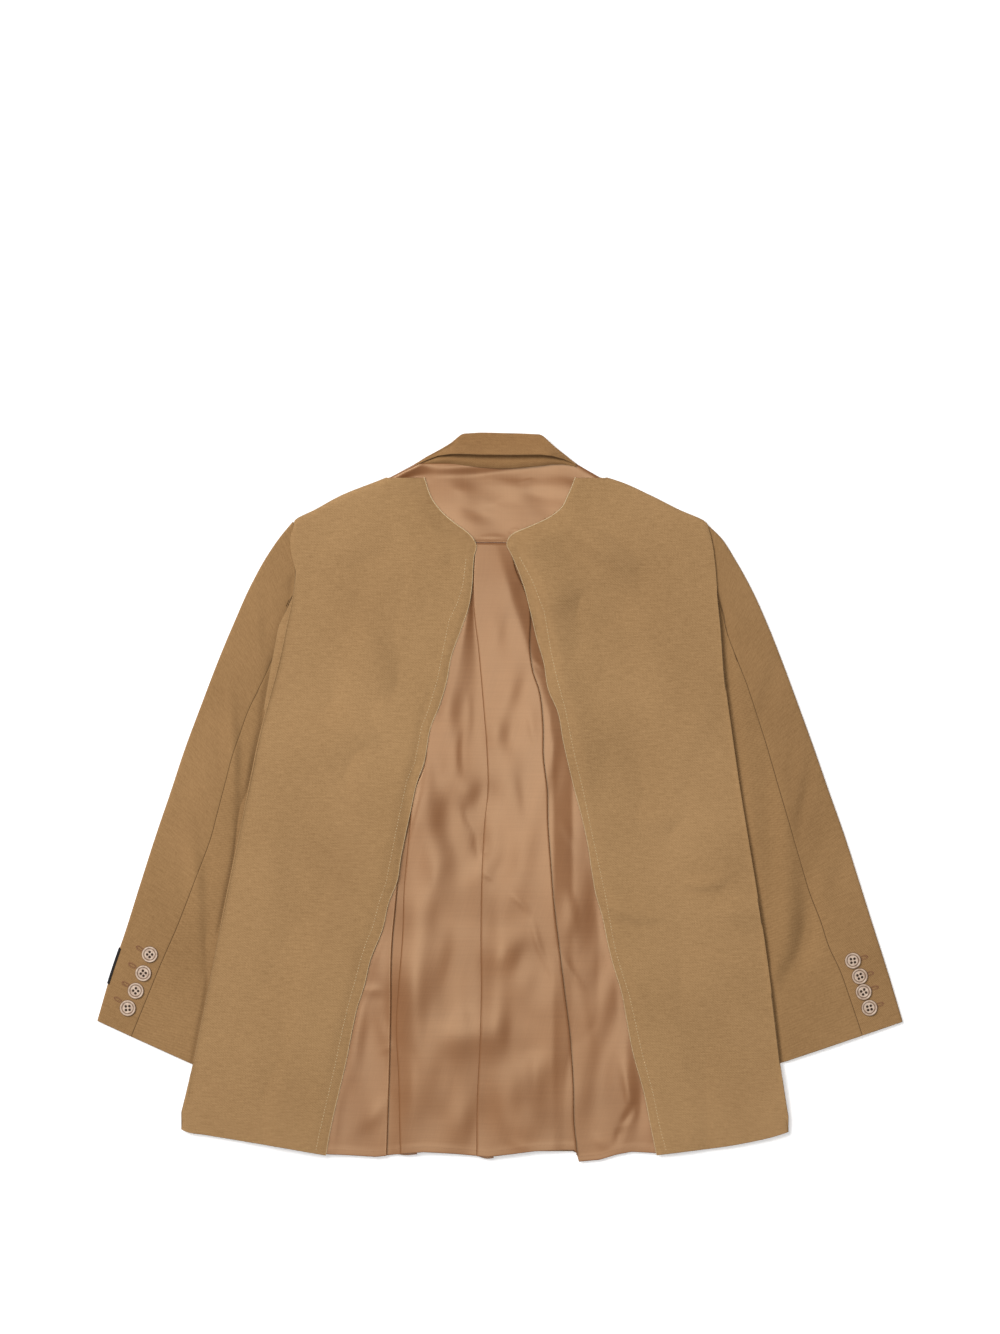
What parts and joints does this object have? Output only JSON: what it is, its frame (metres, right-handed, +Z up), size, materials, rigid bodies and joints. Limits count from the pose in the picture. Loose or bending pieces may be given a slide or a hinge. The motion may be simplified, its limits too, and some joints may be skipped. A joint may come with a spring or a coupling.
{
  "type": "blazer",
  "caption": "Wool blazer laid flat with its back up: split raw-edged back over a satin yoke and pleated lining panel, two-piece sleeves, buttoned cuffs, turned collar.",
  "frame": {"origin": "on the surface the garment lies on, under the middle of its bounding box", "axes": "+Y from the hem towards the collar, +Z up out of the surface through the back of the garment, +X towards the wearer's right"},
  "size_m": [0.887, 0.7962, 0.0143],
  "materials": {
    "wool": "camel wool gabardine, matt with a soft nap",
    "satin": "tan satin lining, soft sheen",
    "button": "pale beige, lightly marbled, polished rim",
    "label": "plain near-black woven tape"
  },
  "bodies": {
    "root": {"back_left": "wool", "back_right": "wool", "side_panel_left": "wool", "side_panel_right": "wool", "front_left": "wool", "front_right": "wool", "lapel_left": "wool", "lapel_right": "wool", "collar_leaf_left": "wool", "collar_leaf_right": "wool", "collar_stand": "wool", "collar_fall": "wool", "top_sleeve_left": "wool", "top_sleeve_right": "wool", "under_sleeve_left": "wool", "under_sleeve_right": "wool", "lining_yoke": "satin", "lining_pleated_panel": "satin", "cuff_button_left_1": "button", "cuff_button_left_2": "button", "cuff_button_left_3": "button", "cuff_button_left_4": "button", "cuff_button_right_1": "button", "cuff_button_right_2": "button", "cuff_button_right_3": "button", "cuff_button_right_4": "button", "front_button_1": "button", "front_button_2": "button", "sleeve_label": "label"}
  },
  "joints": []
}
